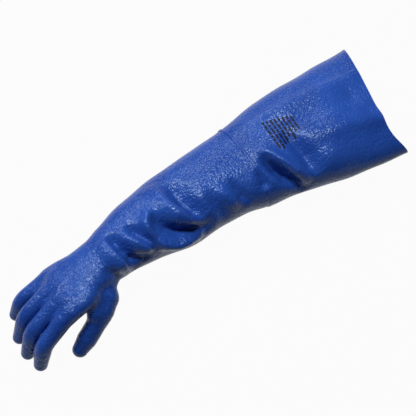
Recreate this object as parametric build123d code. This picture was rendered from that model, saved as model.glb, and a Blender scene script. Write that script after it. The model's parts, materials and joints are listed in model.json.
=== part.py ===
from build123d import *
import os
from math import atan2, copysign, cos, degrees, pi, radians, sin, sqrt, tan

# A shoulder-length insulated glove for the right hand, lying palm down on a table.
# The hand points to -X, the arm opening faces +X, the thumb is on the -Y side, +Z is up.
# A segment that stays stiff is one body.  Between two segments the glove folds in a
# crease, a soft ring that runs from one segment's end plane to the next one's.

# ---- walls and clearances
COAT = 1.2              # PVC coat of the gauntlet, the hand and the fingers
SLEEVE_WALL = 1.0       # single-ply PVC of the arm extension
INSULATION = 2.2        # thermal fleece between coat and liner
LINER = 0.8             # knitted lining next to the skin
LAYER_GAP = 0.2         # slack between two layers
CREASE_GAP = 0.1        # slack between a crease and the segment beside it
TABLE_FLAT = 1.6        # how far the sleeve's underside is pressed flat by the table

# ---- arm: lengths along its middle line, headings in plan (toward the thumb is positive)
CUFF_TO_ELBOW = 186.0
ELBOW_TO_WRIST = 275.0
ELBOW_BEND = 9.0        # the arm's bend at the elbow as it lies
CUFF_LEAN = 10.0        # the opening's upper edge sits back by this angle
ELBOW_REACH = 31.0      # from the elbow's axis to each end of its crease
WELD_WIDTH = 6.0        # round weld that joins the sleeve to the gauntlet
WELD_PROUD = 1.2
SEAM_WIDTH = 5.0        # lengthwise weld of the sleeve
SEAM_PROUD = 0.6
HEM_WIDTH = 12.0        # hem at the upper end of the lining

# sections of the sleeve: distance from the elbow, shift to +Y, half width, half height
SLEEVE_SECTIONS = [
    (CUFF_TO_ELBOW, 0.0, 95.5, 38.0),
    (97.0, -3.0, 87.0, 44.0),
    (ELBOW_REACH, -0.5, 77.0, 44.5),
]
# sections of the gauntlet: share of the way from elbow to wrist, shift to +Y,
# height of the middle, half width, half height
GAUNTLET_SECTIONS = [
    (0.24, 5.5, 42.0, 61.5, 42.0),
    (0.37, 7.3, 44.0, 58.2, 42.0),
    (0.62, 7.3, 49.0, 55.0, 40.5),
    (0.80, 8.5, 55.5, 46.0, 36.5),
]
WELD_SECTION = (65.5, 42.5)    # half width and half height at the round weld
WRIST_SECTION = (41.0, 30.0)
WRIST_HEIGHT = 63.9
WRIST_REACH = 12.0      # from the wrist's axis to each end of its crease
BOXY = 2.2              # 2 is an ellipse, more is squarer

# ---- hand: its own frame has X along the hand, Y to the thumb's side, Z to the back
HAND_YAW = 10.0
HAND_PITCH = 1.0
HAND_ROLL = -8.5        # the thumb's side is raised by this angle
# sections of the palm: distance from the wrist, shift to Y, shift to Z, half width,
# half height, then how the knuckle row is rolled and how it slants back to the little finger
PALM_SECTIONS = [
    (WRIST_REACH, 0.0, 0.0, 38.0, 26.0, 0.0, 0.0),
    (38.0, -1.5, -0.5, 36.5, 19.5, 3.0, 0.0),
    (60.0, 0.5, -0.8, 46.5, 16.5, 7.0, 6.0),
    (71.0, 0.5, -0.8, 46.0, 13.0, 8.0, 11.0),
]
STUB_LENGTH = 32.0      # a finger's root runs this far back into the palm
STUB_TAPER = 3.0        # and is this much thinner there than at its end

# ---- fingers: knuckle place in the hand's frame, splay away from the thumb, then the
# lengths, rest angles and radii of the finger's two stiff segments
FINGERS = {
    "index": dict(knuckle=(97.0, 36.3, 2.0), splay=-1.5, near=50.5, far=45.0,
                  bends=(28.0, 41.0), radii=(11.5, 10.9, 9.9)),
    "middle": dict(knuckle=(94.0, 12.1, 3.3), splay=0.0, near=51.0, far=49.5,
                   bends=(24.0, 42.0), radii=(11.5, 10.9, 9.9)),
    "ring": dict(knuckle=(88.5, -12.1, 1.6), splay=1.0, near=47.0, far=50.0,
                 bends=(20.0, 42.0), radii=(11.5, 10.8, 9.8)),
    "little": dict(knuckle=(83.0, -35.3, -8.5), splay=9.0, near=39.0, far=39.0,
                   bends=(18.0, 41.0), radii=(10.6, 10.0, 9.1)),
}
KNUCKLE_REACH = 9.0     # from a finger joint's axis to each end of its crease
THUMB_ROOT = (17.0, 27.5, -12.0)
THUMB_TURN = 32.6       # the thumb points out of the hand by this angle
THUMB_DROP = 19.4       # and down by this one
THUMB_ROLL = -57.0      # its bending plane is rolled by this angle
THUMB_ROOT_LENGTH = 39.1
THUMB = dict(near=34.2, far=38.7, bends=(21.5, 6.0), radii=(15.2, 13.2, 11.5))
THUMB_REACH = 9.5
# the ball of the thumb: where it starts along the thumb's root, where it is widest,
# and its radius at both
THUMB_BALL = ((1.0, 8.0), (20.0, 16.3))

SECTION_POINTS = 16
PAST = 1.0              # how far a cutting solid runs past the wall that it opens

os.makedirs("parts", exist_ok=True)
LAYERS = {}
inset = 0.0
for layer, thickness in (("coat", COAT), ("insulation", INSULATION), ("liner", LINER)):
    LAYERS[layer] = (inset, inset + thickness)
    inset += thickness + LAYER_GAP


def heading(yaw, pitch):
    """Unit vector along the arm: yaw turns it toward the thumb, pitch turns it down."""
    flat = cos(radians(pitch))
    return Vector(-cos(radians(yaw)) * flat, -sin(radians(yaw)) * flat, -sin(radians(pitch)))


def beside(yaw):
    """Level unit vector across the arm, toward the little finger's side."""
    return Vector(-sin(radians(yaw)), cos(radians(yaw)), 0)


def slice_at(centre, along, across, half_w, half_h, inset):
    """One section of a soft tube: a closed curve in the plane square to its length."""
    points = []
    for i in range(SECTION_POINTS):
        c = cos(2 * pi * i / SECTION_POINTS)
        s = sin(2 * pi * i / SECTION_POINTS)
        points.append((copysign(abs(c) ** (2 / BOXY), c) * (half_w - inset),
                       copysign(abs(s) ** (2 / BOXY), s) * (half_h - inset)))
    level = across - along * across.dot(along)
    plane = Plane(origin=centre, x_dir=level, z_dir=along)
    return plane * make_face(Spline(points, periodic=True))


def form(stations, inset, past=0.0):
    """Solid through the stations (centre, along, across, half width, half height).  With
    past, both ends run on, so that cutting with it leaves an open end."""
    faces = [slice_at(*station, inset) for station in stations]
    solid = loft(faces)
    if past:
        solid += extrude(faces[0], past, dir=stations[0][1] * -1)
        solid += extrude(faces[-1], past, dir=stations[-1][1])
    return solid


def wall(stations, outer, inner):
    """Hollow tube between two insets of the same form."""
    return form(stations, outer) - form(stations, inner, PAST)


def above_table(solid, height):
    """The part of a solid above a level, so that the wall lies flat on the table."""
    box = solid.bounding_box()
    size = 2 * max(box.size.X, box.size.Y, box.size.Z)
    middle = box.center()
    return solid & Pos(middle.X, middle.Y, height + size / 2) * Box(size, size, size)


# ---- arm stations
elbow = Vector(0, 0, SLEEVE_SECTIONS[-1][3] - TABLE_FLAT)
forward = heading(ELBOW_BEND, 0)
sideways = beside(ELBOW_BEND)
wrist = elbow + forward * ELBOW_TO_WRIST
wrist.Z = WRIST_HEIGHT

sleeve_stations = []
for distance, shift, half_w, half_h in SLEEVE_SECTIONS:
    lean = CUFF_LEAN if distance == CUFF_TO_ELBOW else 0.0
    centre = Vector(distance, shift, half_h - TABLE_FLAT)
    sleeve_stations.append((centre, heading(0, lean), beside(0), half_w, half_h))

# the gauntlet starts square to the arm at the weld and follows its curved middle line
weld = elbow + forward * (ELBOW_REACH + CREASE_GAP)
weld.Z = WELD_SECTION[1] - TABLE_FLAT
middle_line = [weld]
for share, shift, height, half_w, half_h in GAUNTLET_SECTIONS:
    place = elbow + forward * (share * ELBOW_TO_WRIST) + sideways * shift
    place.Z = height
    middle_line.append(place)
into_wrist = (wrist - middle_line[-1]).normalized()
wrist_end = wrist - into_wrist * WRIST_REACH

gauntlet_stations = [(weld, forward, sideways, *WELD_SECTION)]
for i, (share, shift, height, half_w, half_h) in enumerate(GAUNTLET_SECTIONS):
    after = middle_line[i + 2] if i + 2 < len(middle_line) else wrist
    along = (after - middle_line[i]).normalized()
    gauntlet_stations.append((middle_line[i + 1], along, sideways, half_w, half_h))

# ---- hand frame
hand_x = heading(HAND_YAW, HAND_PITCH)
level_side = beside(HAND_YAW)
level_back = level_side.cross(hand_x)
roll = radians(HAND_ROLL)
hand_z = level_back * cos(roll) - level_side * sin(roll)
little_side = level_side * cos(roll) + level_back * sin(roll)
hand = Plane(origin=wrist, x_dir=hand_x, z_dir=hand_z).location
gauntlet_stations.append((wrist_end, into_wrist, little_side, *WRIST_SECTION))


def along_x(radius_start, radius_end, start, end):
    """Round solid along X; its radius changes evenly from start to end."""
    length = end - start
    middle = Pos((start + end) / 2, 0, 0) * Rot(0, 90, 0)
    if abs(radius_start - radius_end) < 1e-6:
        return middle * Cylinder(radius_start, length)
    return middle * Cone(radius_start, radius_end, length)


def palm_form(inset, past=0.0):
    """Palm from the wrist crease to the knuckles, in the hand's frame.  It is open at the
    wrist and closed at the knuckles, where the end is set in like the sides."""
    faces = []
    for x, y, z, half_w, half_h, turn, slant in PALM_SECTIONS:
        along = Vector(cos(radians(slant)), sin(radians(-slant)), 0)
        across = Vector(0, -cos(radians(turn)), -sin(radians(turn)))
        back = inset if x == PALM_SECTIONS[-1][0] else 0.0
        faces.append(slice_at(Vector(x - back, y, z), along, across, half_w, half_h, inset))
    solid = loft(faces)
    if past:
        solid += extrude(faces[0], past, dir=Vector(-1, 0, 0))
    return solid


def knuckle_frame(finger):
    """A finger's knuckle in the hand's frame, before it bends."""
    return Pos(*finger["knuckle"]) * Rot(0, 0, -finger["splay"])


def hand_form(inset, past=0.0):
    """Palm, four finger roots and the thumb's root as one solid, in the hand's frame.  A root
    starts thinner inside the palm and comes out of it at its full size."""
    solid = palm_form(inset, past)
    for finger in FINGERS.values():
        start = -KNUCKLE_REACH - STUB_LENGTH + inset
        radius = finger["radii"][0] - inset
        root = along_x(radius - STUB_TAPER, radius, start, -KNUCKLE_REACH)
        if past:
            root += along_x(radius, radius, -KNUCKLE_REACH - past, -KNUCKLE_REACH + past)
        solid += knuckle_frame(finger) * root
    (ball_start, start_radius), (ball_middle, ball_radius) = THUMB_BALL
    end = THUMB_ROOT_LENGTH - THUMB_REACH
    radius = THUMB["radii"][0] - inset
    ball = along_x(start_radius - inset, ball_radius - inset, ball_start + inset, ball_middle)
    ball += along_x(ball_radius - inset, radius, ball_middle, end)
    if past:
        ball += along_x(radius, radius, end - past, end + past)
    return solid + thumb_root * ball


thumb_root = Pos(*THUMB_ROOT) * Rot(0, 0, THUMB_TURN) * Rot(0, THUMB_DROP, 0) * Rot(THUMB_ROLL, 0, 0)


def near_segment(finger, reach, outer, inner):
    """Stiff tube between a finger's two creases, along X from the knuckle."""
    first, second, tip = finger["radii"]
    start = reach + CREASE_GAP
    end = finger["near"] - reach - CREASE_GAP
    return (along_x(first - outer, second - outer, start, end)
            - along_x(first - inner, second - inner, start - PAST, end + PAST))


def far_form(finger, reach, inset, past=0.0):
    """Closed finger end along X from its middle joint, with a round tip."""
    first, second, tip = finger["radii"]
    start = reach + CREASE_GAP - past
    centre = finger["far"] - tip
    return along_x(second - inset, tip - inset, start, centre) + Pos(centre, 0, 0) * Sphere(tip - inset)


def crease(radius, reach, bend, outer, inner):
    """Bent ring round a joint at the origin.  It is an annulus turned about a line that is
    parallel to the joint's axis, so that it ends square to both segments."""
    distance = reach / tan(radians(bend) / 2)
    ring = Circle(radius - outer) - Circle(radius - inner)
    start = Plane(origin=(-reach, 0, 0), x_dir=(0, 1, 0), z_dir=(1, 0, 0))
    return revolve(start * ring, Axis((-reach, 0, -distance), (0, 1, 0)), bend)


nodes = {}
joints = {}

# ---- sleeve
sleeve_outer = above_table(form(sleeve_stations, 0), 0)
sleeve_inner = above_table(form(sleeve_stations, SLEEVE_WALL, PAST), SLEEVE_WALL)
nodes["sleeve"] = sleeve_outer - sleeve_inner

# its lengthwise weld runs from the far side of the elbow to the top of the opening
seam_start = Vector(SLEEVE_SECTIONS[-1][0], 0.80 * SLEEVE_SECTIONS[-1][2], 0)
seam_end = Vector(SLEEVE_SECTIONS[0][0], 0.55 * SLEEVE_SECTIONS[0][2], 0)
seam_run = seam_end - seam_start
top = SLEEVE_SECTIONS[-1][3]
seam_slab = (Pos(*((seam_start + seam_end) * 0.5)) * Rot(0, 0, degrees(atan2(seam_run.Y, seam_run.X)))
             * Pos(0, 0, 2 * top) * Box(2 * seam_run.length, SEAM_WIDTH, 2 * top))
seam_skin = form(sleeve_stations, -LAYER_GAP / 4 - SEAM_PROUD) - form(sleeve_stations, -LAYER_GAP / 4, PAST)
nodes["sleeve_seam"] = seam_skin & seam_slab

# the elbow's crease is the sleeve's last stretch, up to the round weld
elbow_middle = Vector(0, 0, (SLEEVE_SECTIONS[-1][3] + WELD_SECTION[1]) / 2 - TABLE_FLAT)
bisector = heading(ELBOW_BEND / 2, 0)
crease_start = sleeve_stations[-1]
elbow_stations = [
    (crease_start[0] - Vector(CREASE_GAP, 0, 0), heading(0, 0), beside(0), *crease_start[3:]),
    (elbow_middle, bisector, beside(ELBOW_BEND / 2),
     (crease_start[3] + WELD_SECTION[0]) / 2, (crease_start[4] + WELD_SECTION[1]) / 2),
    (weld - forward * CREASE_GAP, forward, sideways, *WELD_SECTION),
]
elbow_outer = above_table(form(elbow_stations, 0), 0)
elbow_inner = above_table(form(elbow_stations, SLEEVE_WALL, PAST), SLEEVE_WALL)
nodes["sleeve_elbow"] = elbow_outer - elbow_inner
joints["elbow"] = (elbow, Vector(0, 0, 1))

# ---- gauntlet: a coat with insulation and liner inside it, all following one form
for layer, (outer, inner) in LAYERS.items():
    solid = above_table(form(gauntlet_stations, outer), outer)
    nodes["gauntlet_" + layer] = solid - above_table(form(gauntlet_stations, inner, PAST), inner)

# the round weld is a band over the sleeve's end and the gauntlet's start
weld_half = forward * (WELD_WIDTH / 2)
weld_stations = [
    (weld - weld_half, forward, sideways, *WELD_SECTION),
    (weld + weld_half, forward, sideways, *WELD_SECTION),
]
band_inset = -SLEEVE_WALL / 2 - LAYER_GAP
band = above_table(form(weld_stations, band_inset - WELD_PROUD), 0)
nodes["weld_band"] = band - form(weld_stations, band_inset, PAST)
nodes["weld_band"] = nodes["weld_band"] - form(elbow_stations, -LAYER_GAP / 2, PAST)

# the lining's hem is turned in at its upper end, inside the liner
hem_outer = LAYERS["liner"][1] + LAYER_GAP
hem_inner = hem_outer + LINER
hem = above_table(form(gauntlet_stations, hem_outer), hem_outer)
hem -= above_table(form(gauntlet_stations, hem_inner, PAST), hem_inner)
reach_across = 4 * WELD_SECTION[0]
hem_box = Plane(origin=weld + forward * (HEM_WIDTH / 2), x_dir=forward, z_dir=(0, 0, 1))
nodes["lining_hem"] = hem & hem_box.location * Box(HEM_WIDTH, reach_across, reach_across)

# ---- wrist crease, one ring for each layer
wrist_start = hand * Pos(WRIST_REACH - CREASE_GAP, 0, 0)
wrist_stations = [
    (wrist_end + into_wrist * CREASE_GAP, into_wrist, little_side, *WRIST_SECTION),
    (wrist, (into_wrist + hand_x).normalized(), little_side,
     (WRIST_SECTION[0] + PALM_SECTIONS[0][3]) / 2, (WRIST_SECTION[1] + PALM_SECTIONS[0][4]) / 2),
    (Vector(*wrist_start.position), hand_x, little_side, *PALM_SECTIONS[0][3:5]),
]
for layer, (outer, inner) in LAYERS.items():
    nodes["wrist_" + layer] = wall(wrist_stations, outer, inner)
joints["wrist"] = (wrist, -little_side)

# ---- hand
for layer, (outer, inner) in LAYERS.items():
    nodes["hand_" + layer] = hand * (hand_form(outer) - hand_form(inner, PAST))


def add_finger(name, finger, reach, base):
    """Adds a finger's segments and creases; base is its first joint, not yet bent."""
    first_bend, second_bend = finger["bends"]
    near = base * Rot(0, first_bend, 0)
    middle = near * Pos(finger["near"], 0, 0)
    far = middle * Rot(0, second_bend, 0)
    for layer, (outer, inner) in LAYERS.items():
        nodes[f"{name}_near_{layer}"] = near * near_segment(finger, reach, outer, inner)
        nodes[f"{name}_far_{layer}"] = far * (far_form(finger, reach, outer)
                                             - far_form(finger, reach, inner, PAST))
    nodes[f"{name}_knuckle_crease"] = base * crease(finger["radii"][0], reach, first_bend, 0, COAT)
    nodes[f"{name}_middle_crease"] = middle * crease(finger["radii"][1], reach, second_bend, 0, COAT)
    for joint, place in ((f"{name}_knuckle", base), (f"{name}_middle", middle)):
        axis = Plane(place).y_dir
        joints[joint] = (Vector(*place.position), axis)


for name, finger in FINGERS.items():
    add_finger(name, finger, KNUCKLE_REACH, hand * knuckle_frame(finger))
add_finger("thumb", THUMB, THUMB_REACH, hand * thumb_root * Pos(THUMB_ROOT_LENGTH, 0, 0))

# ---- the part's origin is under the middle of its box, on the table at Z = 0
whole = Compound(children=[Compound(solid.solids()) for solid in nodes.values()])
box = whole.bounding_box()
shift = Vector(-box.center().X, -box.center().Y, 0)
for name, solid in nodes.items():
    export_step(Pos(*shift) * solid, f"parts/{name}.step")
for name, (place, axis) in joints.items():
    joints[name] = (place + shift, axis)
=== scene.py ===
# %% [markdown]
# # A shoulder-length cold glove
#
# The glove is one bag of soft sheet, but it moves at twelve places: the elbow, the wrist
# and two creases in each of the five fingers.  Its stiff segments come from the CAD model,
# which is loaded here as a fixed frame.  Every visible surface is then worked out with
# numpy; the weld, the hem and the hand are tied to bodies of that frame, and the other
# pieces only have their place baked into their meshes.
# Shapes are worked out in millimetres, because glove makers do, and become metres only
# when a mesh is made.

# %% Load the frame
import json
import math

import bpy
import numpy as np
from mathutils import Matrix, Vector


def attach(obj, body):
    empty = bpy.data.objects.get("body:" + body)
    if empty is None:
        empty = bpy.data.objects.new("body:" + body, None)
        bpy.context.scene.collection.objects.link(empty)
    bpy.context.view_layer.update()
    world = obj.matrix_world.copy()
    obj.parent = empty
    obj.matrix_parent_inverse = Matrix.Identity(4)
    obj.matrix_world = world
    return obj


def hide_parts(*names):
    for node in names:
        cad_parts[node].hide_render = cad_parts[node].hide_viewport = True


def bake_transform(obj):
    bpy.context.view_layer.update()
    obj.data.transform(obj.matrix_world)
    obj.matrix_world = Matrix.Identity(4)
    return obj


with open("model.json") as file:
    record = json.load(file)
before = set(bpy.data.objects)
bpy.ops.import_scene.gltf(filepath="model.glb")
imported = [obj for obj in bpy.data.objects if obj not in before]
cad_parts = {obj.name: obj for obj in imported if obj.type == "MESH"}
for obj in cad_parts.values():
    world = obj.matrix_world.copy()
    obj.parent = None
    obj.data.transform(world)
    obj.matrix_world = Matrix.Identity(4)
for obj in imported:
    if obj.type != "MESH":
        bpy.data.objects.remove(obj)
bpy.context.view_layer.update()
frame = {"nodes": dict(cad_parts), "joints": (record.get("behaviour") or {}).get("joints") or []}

MM = 0.001
nodes = frame["nodes"]
joints = {j["name"]: j for j in frame["joints"]}
print("CAD nodes:", len(nodes), "joints:", len(joints))

# %% [markdown]
# ## Where the glove bends
#
# Each joint of the frame gives the place and the axis of a crease.  A finger has three
# directions: along its root, along its first segment and along its end.  The first
# segment runs from one joint to the next, and the other two are that direction turned
# about the finger's own axis, so the skin always follows the CAD segments inside it.

# %% Directions of the arm, the hand and the fingers
def unit(v):
    """The vector divided by its length."""
    v = np.asarray(v, float)
    return v / np.linalg.norm(v)


def place(joint):
    """Where a joint sits, in millimetres."""
    return np.array(joints[joint]["pos_m"], float) / MM


def turned(v, axis, degrees):
    """v turned about axis: v cos a + (axis x v) sin a + axis (axis . v)(1 - cos a)."""
    a = math.radians(degrees)
    return v * math.cos(a) + np.cross(axis, v) * math.sin(a) + axis * (axis @ v) * (1 - math.cos(a))


ARM_BEND, HAND_YAW, HAND_PITCH = 9.0, 10.0, 1.0     # degrees
elbow, wrist = place("elbow"), place("wrist")
forward = np.array([-math.cos(math.radians(ARM_BEND)), -math.sin(math.radians(ARM_BEND)), 0.0])
sideways = np.array([forward[1], -forward[0], 0.0])
up = np.array([0.0, 0.0, 1.0])

yaw, pitch = math.radians(HAND_YAW), math.radians(HAND_PITCH)
hand_x = np.array([-math.cos(yaw) * math.cos(pitch), -math.sin(yaw) * math.cos(pitch), -math.sin(pitch)])
hand_y = unit(joints["wrist"]["axis"])          # the thumb's side of the hand
hand_z = np.cross(hand_x, hand_y)
print("forward", forward.round(3), "hand", hand_x.round(3), hand_y.round(3), hand_z.round(3))

# %% [markdown]
# ## Soft tubes
#
# The sleeve, the gauntlet and the palm are tubes whose section changes slowly: an oval
# that is a little squarer than an ellipse.  A tube is stored as a short list of stations,
# and everything between them comes from smooth interpolation.  For the hand it is handy
# to know how far any point in space is from the skin, so the tubes are also written as
# distance fields.

# %% Interpolation and ovals
BOXY = 2.2


def smooth_curve(at, xs, values):
    """Values at the places `at` on the curve through (xs, values): cubic pieces that
    share a slope at every station, so the curve has no kink."""
    xs, values = np.asarray(xs, float), np.asarray(values, float)
    slopes = np.gradient(values, xs, axis=0)
    at = np.clip(at, xs[0], xs[-1])
    i = np.clip(np.searchsorted(xs, at) - 1, 0, len(xs) - 2)
    gap = xs[i + 1] - xs[i]
    t = (at - xs[i]) / gap
    if values.ndim > 1:
        t, gap = t[:, None], gap[:, None]
    return (values[i] * (1 + 2 * t) * (1 - t) ** 2 + values[i + 1] * t * t * (3 - 2 * t)
            + slopes[i] * gap * t * (1 - t) ** 2 - slopes[i + 1] * gap * t * t * (1 - t))


def stations(table, along):
    """Rows of a station table, without its first column, at any places along its tube."""
    return smooth_curve(np.ravel(along), table[:, 0], table[:, 1:]).reshape(np.shape(along) + (-1,))


def step(low, high, x):
    """0 below low, 1 above high, and 3t^2 - 2t^3 between them."""
    t = np.clip((x - low) / (high - low), 0, 1)
    return t * t * (3 - 2 * t)


def oval(y, z, half_w, half_h, power=BOXY):
    """Distance from the oval (|y|/w)^n + (|z|/h)^n = 1: how far the left side's n-th root
    is from 1, divided by the length of its slope."""
    a, b = np.abs(y) / half_w + 1e-9, np.abs(z) / half_h + 1e-9
    rho = (a ** power + b ** power) ** (1 / power)
    slope = rho ** (1 - power) * np.sqrt((a ** (power - 1) / half_w) ** 2 + (b ** (power - 1) / half_h) ** 2)
    return (rho - 1) / slope


def join(a, b, soft):
    """Union of two distance fields, with a fillet about as wide as soft."""
    h = np.clip(0.5 + 0.5 * (b - a) / soft, 0, 1)
    return b * (1 - h) + a * h - soft * h * (1 - h)


def cut(a, b, soft):
    """What two distance fields share, with the edge rounded by soft."""
    return -join(-a, -b, soft)


def rod(p, start, end, r_start, r_end):
    """Distance from a rod with round ends whose radius changes evenly along it."""
    line = end - start
    t = np.clip((p - start) @ line / (line @ line), 0, 1)
    return np.linalg.norm(p - start - t[:, None] * line, axis=1) - (r_start + (r_end - r_start) * t)


# distance along the forearm from the elbow, offset to the little finger's side, height
# of the middle, half width, half height
GAUNTLET = np.array([
    (20.0, 0.0, 41.0, 66.8, 42.8), (31.1, 0.0, 40.9, 65.5, 42.5), (66.0, 5.5, 42.0, 61.5, 42.0),
    (101.8, 7.3, 44.0, 58.2, 42.0), (170.5, 7.3, 49.0, 55.0, 40.5), (220.0, 8.8, 55.5, 45.7, 36.5),
    (263.0, 4.5, 62.0, 38.5, 30.0), (300.0, -2.5, 66.0, 37.5, 29.0),
])
# distance from the wrist along the hand, offset to the thumb's side, offset to the back,
# half width, half height, roll
PALM = np.array([
    (-30.0, -2.0, 0.0, 37.0, 28.5, 0.0), (12.0, -1.2, 0.0, 36.5, 26.0, 0.0),
    (38.0, -1.0, -0.2, 38.5, 21.5, 3.0), (60.0, 0.5, 0.2, 46.5, 18.0, 7.0), (85.0, 0.5, 0.6, 47.0, 15.5, 9.0),
])

PALM_END, PALM_END_SLANT = 92.0, 0.16       # where the knuckles end it, and how it slants


def gauntlet_field(p):
    """Distance from the gauntlet: at each place along the forearm, the oval's distance."""
    q = p - elbow
    along = q @ forward
    c = stations(GAUNTLET, along)
    return oval(q @ sideways - c[:, 0], p[:, 2] - c[:, 1], c[:, 2], c[:, 3])


def palm_field(p):
    """Distance from the palm, whose oval is rolled more and more toward the knuckles."""
    q = p - wrist
    x, y, z = q @ hand_x, q @ hand_y, q @ hand_z
    c = stations(PALM, x)
    y, z = y - c[:, 0], z - c[:, 1]
    roll = np.radians(c[:, 4])
    side = oval(y * np.cos(roll) + z * np.sin(roll), z * np.cos(roll) - y * np.sin(roll), c[:, 2], c[:, 3])
    return cut(side, x - PALM_END - PALM_END_SLANT * y, 16.0)


print("gauntlet stations:", len(GAUNTLET), "palm stations:", len(PALM))

# %% [markdown]
# ## Fingers
#
# A finger is three rods in a row, bent at its two joints.  Neighbours are so close that a
# dipped glove has a web of coat between them, up to a little past the knuckles.  The web
# is a rod of its own, sunk between two fingers.  All of it is joined with fillets, which
# is just what dipping a former into liquid PVC does.

# %% Finger rods and webs
# each finger: degrees it is bent at the knuckle and at the middle joint, length past the
# middle joint, and radii at the knuckle, the middle joint and the tip
BENDS = {"index": (28.0, 41.0), "middle": (24.0, 42.0), "ring": (20.0, 42.0), "little": (18.0, 41.0),
         "thumb": (21.5, 6.0)}
FAR = {"index": 45.0, "middle": 49.5, "ring": 50.0, "little": 39.0, "thumb": 38.7}
RADII = {"index": (12.4, 11.9, 9.7), "middle": (12.4, 11.9, 9.7), "ring": (12.3, 11.8, 9.6),
         "little": (11.5, 11.0, 9.0), "thumb": (15.4, 13.8, 10.9)}
ROOT_LENGTH, ROOT_THINNER = 41.0, 3.0   # how far a finger runs back into the hand
FOUR = ("index", "middle", "ring", "little")
PAIRS = list(zip(FOUR[:-1], FOUR[1:]))
ROUND = 11.0            # a bent middle joint is rounded from this far before its corner
KNUCKLE_ROUND = 6.0     # and a knuckle from here
fingers = {}
for name in RADII:
    knuckle, middle = place(name + "_knuckle"), place(name + "_middle")
    axis = unit(joints[name + "_knuckle"]["axis"])
    first = unit(middle - knuckle)
    root, last = turned(first, axis, -BENDS[name][0]), turned(first, axis, BENDS[name][1])
    fingers[name] = dict(knuckle=knuckle, middle=middle, root=root, first=first, last=last,
                         tip=middle + last * (FAR[name] - RADII[name][2]))
    print(name, "tip at", (middle + last * FAR[name]).round(1))

thumb_start = wrist + 17.0 * hand_x + 27.5 * hand_y - 12.0 * hand_z
THUMB_WEB = np.array([(-196.0, -66.0, 60.0), (-204.0, -82.0, 52.0)])
WEB_REACH = 20.0        # how far the web runs past the knuckles
BALL_AT, BALL_RADIUS = 20.0, 16.3       # the ball of the thumb, its widest place


def finger_field(p, name):
    """Distance from one finger: rods along its root, its first segment and its end, with
    short rods round the bend of the middle joint."""
    f, (r0, r1, r2) = fingers[name], RADII[name]
    if name == "thumb":
        ball = thumb_start + f["root"] * BALL_AT
        d = rod(p, thumb_start + f["root"], ball, 8.0, BALL_RADIUS)
        d = join(d, rod(p, ball, f["knuckle"], BALL_RADIUS, r0), 3.0)
    else:
        start = f["knuckle"] - f["root"] * ROOT_LENGTH
        d = rod(p, start, f["knuckle"] - KNUCKLE_ROUND * f["root"], r0 - ROOT_THINNER, r0)
    bend = [(f["middle"] - ROUND * (1 - t) ** 2 * f["first"] + ROUND * t ** 2 * f["last"], r1)
            for t in (0.0, 0.25, 0.5, 0.75, 1.0)]
    line = [(f["knuckle"] - KNUCKLE_ROUND * f["root"], r0), (f["knuckle"] + KNUCKLE_ROUND * f["first"], r0),
            *bend, (f["tip"], r2)]
    for (a, r_a), (b, r_b) in zip(line[:-1], line[1:]):
        d = np.minimum(d, rod(p, a, b, r_a, r_b))
    return d


def between(a, b):
    """Point and direction of the plane midway between two neighbours, facing from a to b."""
    fa, fb = fingers[a], fingers[b]
    middle = (fa["knuckle"] + fb["knuckle"]) / 2
    across = fb["knuckle"] - fa["knuckle"] + (fb["middle"] - fa["middle"])
    along = unit(fa["first"] + fb["first"])
    normal = unit(across - (across @ along) * along)
    return middle, normal, along


middles = {pair: between(*pair) for pair in PAIRS}


def web_field(p, pair, reach):
    """Distance from the web between two fingers, a rod that thins toward its free edge."""
    middle, normal, along = middles[pair]
    return rod(p, middle - 16.0 * along, middle + reach * along, 11.0, 3.5)


def skin_field(p, focus=None):
    """Distance from the skin of the forearm and hand.  With a finger in focus, its
    neighbours fade out past the web, where a gap parts them from it."""
    across_wrist = step(-14.0, 14.0, (p - wrist) @ hand_x)
    d = gauntlet_field(p) * (1 - across_wrist) + palm_field(p) * across_wrist
    for pair in PAIRS:
        d = join(d, web_field(p, pair, WEB_REACH - 4.0), 6.0)
    four = None
    for name in FOUR:
        one = finger_field(p, name)
        if focus in FOUR and name != focus:
            one = one + 14.0 * step(WEB_REACH - 7.0, WEB_REACH + 1.0,
                                    (p - fingers[name]["knuckle"]) @ fingers[focus]["first"])
        four = one if four is None else join(four, one, 4.0)
    d = join(d, four, 9.0)
    d = join(d, rod(p, THUMB_WEB[0], THUMB_WEB[1], 11.0, 9.0), 10.0)
    d = join(d, finger_field(p, "thumb"), 10.0)
    return cut(d, -p[:, 2], 1.5)


def slope_of(field, p, h=0.2):
    """Unit direction in which the distance grows, from differences over 2 h."""
    g = np.stack([field(p + h * e) - field(p - h * e) for e in np.eye(3)], axis=1)
    return g / np.maximum(np.linalg.norm(g, axis=1, keepdims=True), 1e-9)


probe = np.array([wrist + 60 * hand_x + 30 * hand_z, elbow + 100 * forward + 60 * up])
print("distance of two points above the skin:", skin_field(probe).round(1))

# %% [markdown]
# ## From a distance field to a mesh
#
# A surface net turns a distance field into quads.  The field is sampled on a grid of
# small boxes; each box that the skin passes through gets one vertex, at the mean of the
# places where its edges cross the skin, and each crossed edge gets the quad of the four
# boxes round it.  Voxel remeshing in Blender would give a similar mesh, but here every
# vertex can then be slid exactly onto the skin.

# %% Surface nets
CORNERS = np.array([(i, j, k) for i in (0, 1) for j in (0, 1) for k in (0, 1)])


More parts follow.
